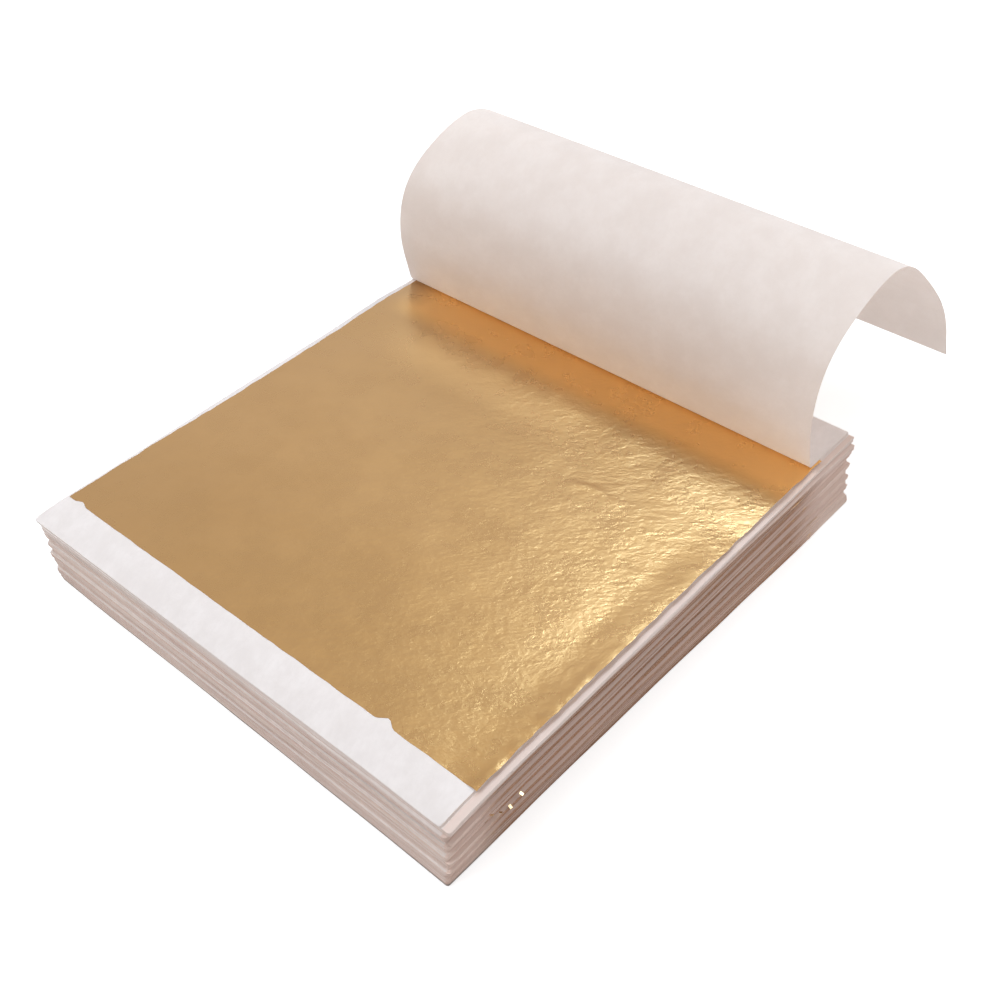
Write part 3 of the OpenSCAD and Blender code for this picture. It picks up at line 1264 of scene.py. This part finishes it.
@dataclass
class RaisedPage:
    """The turned-up page: one curling sheet along the CAD's chain of bends, cut into a piece for each.

    Attributes:
        width: The page's size across.
        ply: Its thickness.
        crease_reach: How far the crease's curve reaches to either side of it.
        crease_steps: How many squares the crease's curve has along.
        run_steps: How many squares lie between the crease's curve and the next.
        steps: How many squares each other curve has along.
        end_steps: How many squares the last, straight run has along.
        across: How many squares the page has across.
        free_end: Where its free edge is.
    """

    width: float = 86 * MM
    ply: float = 0.055 * MM
    crease_reach: float = 0.8 * MM
    crease_steps: int = 8
    run_steps: int = 5
    steps: int = 16
    end_steps: int = 6
    across: int = 60
    free_end: Place = (0.0, 81.43105 * MM, 9.607885 * MM)

    def bends(self, joints: Iterable[dict]) -> list[Vector]:
        """The places of the crease and the bends, from the record's hinges, with the free end last."""
        places = {j["name"]: Vector(j["pos_m"]) for j in joints if j["type"] == "hinge"}
        return [places["page_turn"], *(places[f"page_bend_{i}"] for i in range(1, 7)), Vector(self.free_end)]

    def profile(self, bends: list[Vector]) -> list[list[Vector]]:
        """The page's curve, as a run of points for each piece.

        Args:
            bends: The crease, the bends and the free end.

        Returns:
            Eight runs, each of which starts where the last one ends.
        """
        middles = [(a + b) / 2 for a, b in zip(bends, bends[1:])]

        def curve(a: Vector, b: Vector, c: Vector, count: int) -> list[Vector]:
            """Points of the parabola from a to c that leaves along b."""
            shares = (i / count for i in range(count + 1))
            return [a * (1 - t) ** 2 + b * 2 * t * (1 - t) + c * t * t for t in shares]

        back, up = self.crease_ends(bends)
        first = curve(back, bends[0], up, self.crease_steps)
        first += [up.lerp(middles[0], i / self.run_steps) for i in range(1, self.run_steps + 1)]
        runs = [first]
        for before, bend, after in zip(middles, bends[1:], middles[1:]):
            runs.append(curve(before, bend, after, self.steps))
        runs.append([middles[-1].lerp(bends[-1], i / self.end_steps) for i in range(self.end_steps + 1)])
        return runs

    def crease_ends(self, bends: list[Vector]) -> tuple[Vector, Vector]:
        """Where the crease's curve starts, behind it on the pad, and where it ends, up the page."""
        up = (bends[1] - bends[0]).normalized() * self.crease_reach
        return bends[0] + Vector((0, self.crease_reach, 0)), bends[0] + up

    def whole_sheet(self, runs: list[list[Vector]]) -> bpy.types.Object:
        """Draws the page out along its curve from the back of its crease.

        Args:
            runs: The curve's points, piece by piece.

        Returns:
            The sheet, without thickness.
        """
        line = runs[0] + [p for run in runs[1:] for p in run[1:]]
        start = (0, line[0].y + 0.5 * MM, line[0].z)
        page = flat_sheet("raised_page", self.width, 1 * MM, self.across, 1, start)
        select_points(page, lambda p: p.y > start[1])
        bpy.ops.mesh.delete(type="VERT")
        select_points(page, lambda p: True)
        for a, b in zip(line, line[1:]):
            extrude(b - a)
        face_outwards()
        return page

    def build(self, finishes: Finishes, joints: Iterable[dict]) -> list[bpy.types.Object]:
        """Builds the page's pieces and joins the last one to its body.

        Args:
            finishes: The booklet's finishes.
            joints: The record's joints.

        Returns:
            The pieces, from the crease to the free end.
        """
        bends = self.bends(joints)
        runs = self.profile(bends)
        page = self.whole_sheet(runs)
        rows = [0]
        for run in runs:
            rows.append(rows[-1] + len(run) - 1)
        wear(page, finishes.page, finishes.cut)
        pieces = []
        for i in range(len(runs)):
            piece = twin(page)
            piece.name = piece.data.name = f"page_curl_{i}" if i else "page_crease"
            self.keep_faces(piece, rows[i] * self.across, rows[i + 1] * self.across)
            give_thickness(piece, self.ply, edge_slot=1)
            smooth(piece)
            pieces.append(piece)
        discard(page)
        self.attach(pieces, bends, runs)
        return pieces

    def keep_faces(self, piece: bpy.types.Object, first: int, last: int) -> None:
        """Deletes all faces of a piece but those with an index from first up to last."""
        take(piece)
        bpy.ops.object.mode_set(mode="EDIT")
        bpy.ops.mesh.select_mode(type="FACE")
        mesh = bmesh.from_edit_mesh(piece.data)
        for face in mesh.faces:
            face.select = not first <= face.index < last
        bmesh.update_edit_mesh(piece.data)
        bpy.ops.mesh.delete(type="FACE")
        put_down()

    def attach(self, pieces: list[bpy.types.Object], bends: list[Vector], runs: list[list[Vector]]) -> None:
        """Puts the first seven pieces' places into their meshes, joins the last piece to its body and hides
        the CAD's page panels.
        """
        ends = [self.crease_ends(bends)]
        ends += [(run[0], run[-1]) for run in runs[1:7]]
        for i, (start, end) in enumerate(ends):
            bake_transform(pieces[i])
        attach(pieces[7], "page_7")
        for i, piece in enumerate(pieces):
            if i:
                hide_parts(f"page_panel_{i}")


# The stage


@dataclass(frozen=True)
class PhotoCamera:
    """The camera at the photograph's viewpoint.

    Attributes:
        place: Where it stands.
        look: The direction that it looks in.
        right: The direction of the picture's right side.
        focal: Its focal length in picture widths.
    """

    place: Place = (0.11485, -0.10929, 0.15260)
    look: Place = (-0.50845, 0.53496, -0.67476)
    right: Place = (0.74909, 0.66124, -0.04022)
    focal: float = 1.34382

    def build(self) -> None:
        """Adds the camera and makes it the scene's."""
        put_down()
        bpy.ops.object.camera_add()
        camera = bpy.context.object
        camera.name = "photo_camera"
        right, back = Vector(self.right).normalized(), -Vector(self.look).normalized()
        up = back.cross(right).normalized()
        turn = Matrix((right, up, back)).transposed().to_4x4()
        camera.matrix_world = Matrix.Translation(self.place) @ turn
        camera.data.sensor_width = 36.0
        camera.data.lens = 36.0 * self.focal
        camera.data.clip_start, camera.data.clip_end = 0.01, 20.0
        bpy.context.scene.camera = camera


@dataclass(frozen=True)
class SoftLamp:
    """A square lamp that faces the booklet.

    Attributes:
        name: Its name.
        towards: The direction in which it stands.
        distance: How far away it stands.
        side: The length of its side.
        share: How bright a white surface that faces straight up renders under it.
        colour: The colour of its light.
    """

    name: str
    towards: Place
    distance: float
    side: float
    share: float
    colour: Colour = (1.0, 1.0, 1.0)

    def build(self) -> None:
        """Adds the lamp."""
        put_down()
        way = Vector(self.towards).normalized()
        middle = Vector((0.0, 0.0, 0.015))
        bpy.ops.object.light_add(type="AREA", location=middle + way * self.distance)
        lamp = bpy.context.object
        lamp.name = lamp.data.name = self.name
        lamp.rotation_euler = way.to_track_quat("Z", "Y").to_euler()
        lamp.data.shape, lamp.data.size = "SQUARE", self.side
        lamp.data.energy = self.share * math.pi ** 2 * self.distance ** 2 / way.z
        lamp.data.color = self.colour


@dataclass(frozen=True)
class Studio:
    """A white floor under soft lamps, with a plain pale world.

    Attributes:
        lamps: The lamps.
        ambient: The world's level on the object.
        floor: The floor's finish.
        floor_side: The length of the floor's side.
    """

    lamps: tuple[SoftLamp, ...] = (
        SoftLamp("front_left_softbox", (-0.25, -0.36, 0.90), 0.9, 0.55, 0.40),
        SoftLamp("back_softbox", (-0.190, 0.518, 0.834), 0.9, 0.18, 0.19, (0.55, 0.78, 1.0)),
        SoftLamp("back_right_fill", (0.42, 0.68, 0.60), 1.1, 0.8, 0.21),
    )
    ambient: float = 0.38
    floor: GroundFinish = GroundFinish("white_floor", (0.70, 0.70, 0.70), 0.62)
    floor_side: float = 6.0

    def build(self) -> None:
        """Adds the floor, the world and the lamps."""
        put_down()
        bpy.ops.mesh.primitive_plane_add(size=self.floor_side, location=(0, 0, -0.02 * MM))
        ground = bpy.context.object
        ground.name = ground.data.name = "floor"
        wear(bake_place(ground), self.floor.make())
        for lamp in self.lamps:
            lamp.build()
        self.sky()
        bpy.context.scene.view_settings.view_transform = "Standard"

    def sky(self) -> None:
        """Makes the world white to the camera and to metal, and plain on the object."""
        n = Nodes(bpy.context.scene.world or bpy.data.worlds.new("studio"))
        plain, white = (n.white_light("ShaderNodeBackground", level) for level in (self.ambient, 1.0))
        sky = n.blend_shaders(n.looked_at(), plain, white)
        bpy.context.scene.world = n.finish(sky, "ShaderNodeOutputWorld")


def dress_stitches(finishes: Finishes) -> list[bpy.types.Object]:
    """Gives the CAD's wire stitches their finish and returns them."""
    stitches = [bpy.data.objects[name] for name in ("stitch_left", "stitch_right")]
    for stitch in stitches:
        for slot in stitch.material_slots:
            slot.link = "OBJECT"
            slot.material = finishes.wire
    return stitches


def report(name: str, pieces: Iterable[bpy.types.Object]) -> None:
    """Logs each piece of a sub-assembly with its size and its faces."""
    for piece in pieces:
        size = piece.dimensions / MM
        log.info("%s: %s, %.1f x %.1f x %.1f mm, %d faces", name, piece.name, *size, len(piece.data.polygons))


def main() -> None:
    """Builds the booklet on its frame, and the stage around it."""
    logging.basicConfig(level=logging.INFO, format="%(message)s")
    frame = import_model()
    put_down()
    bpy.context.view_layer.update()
    PhotoCamera().build()
    Studio().build()
    finishes = Finishes()
    settling = Settling()
    settling.build()
    pad = TissuePad()
    report("pad", pad.build(finishes, settling))
    report("leaf packets", LeafPackets().build(finishes, pad, settling))
    report("open tissue", [OpenTissue().build(finishes, settling)])
    report("open leaf", [OpenLeaf().build(finishes, settling)])
    report("leaf scraps", [LeafScraps().build(finishes)])
    settling.clear()
    report("raised page", RaisedPage().build(finishes, frame["joints"]))
    report("stitches", dress_stitches(finishes))
    put_down()


if __name__ == "__main__":
    main()
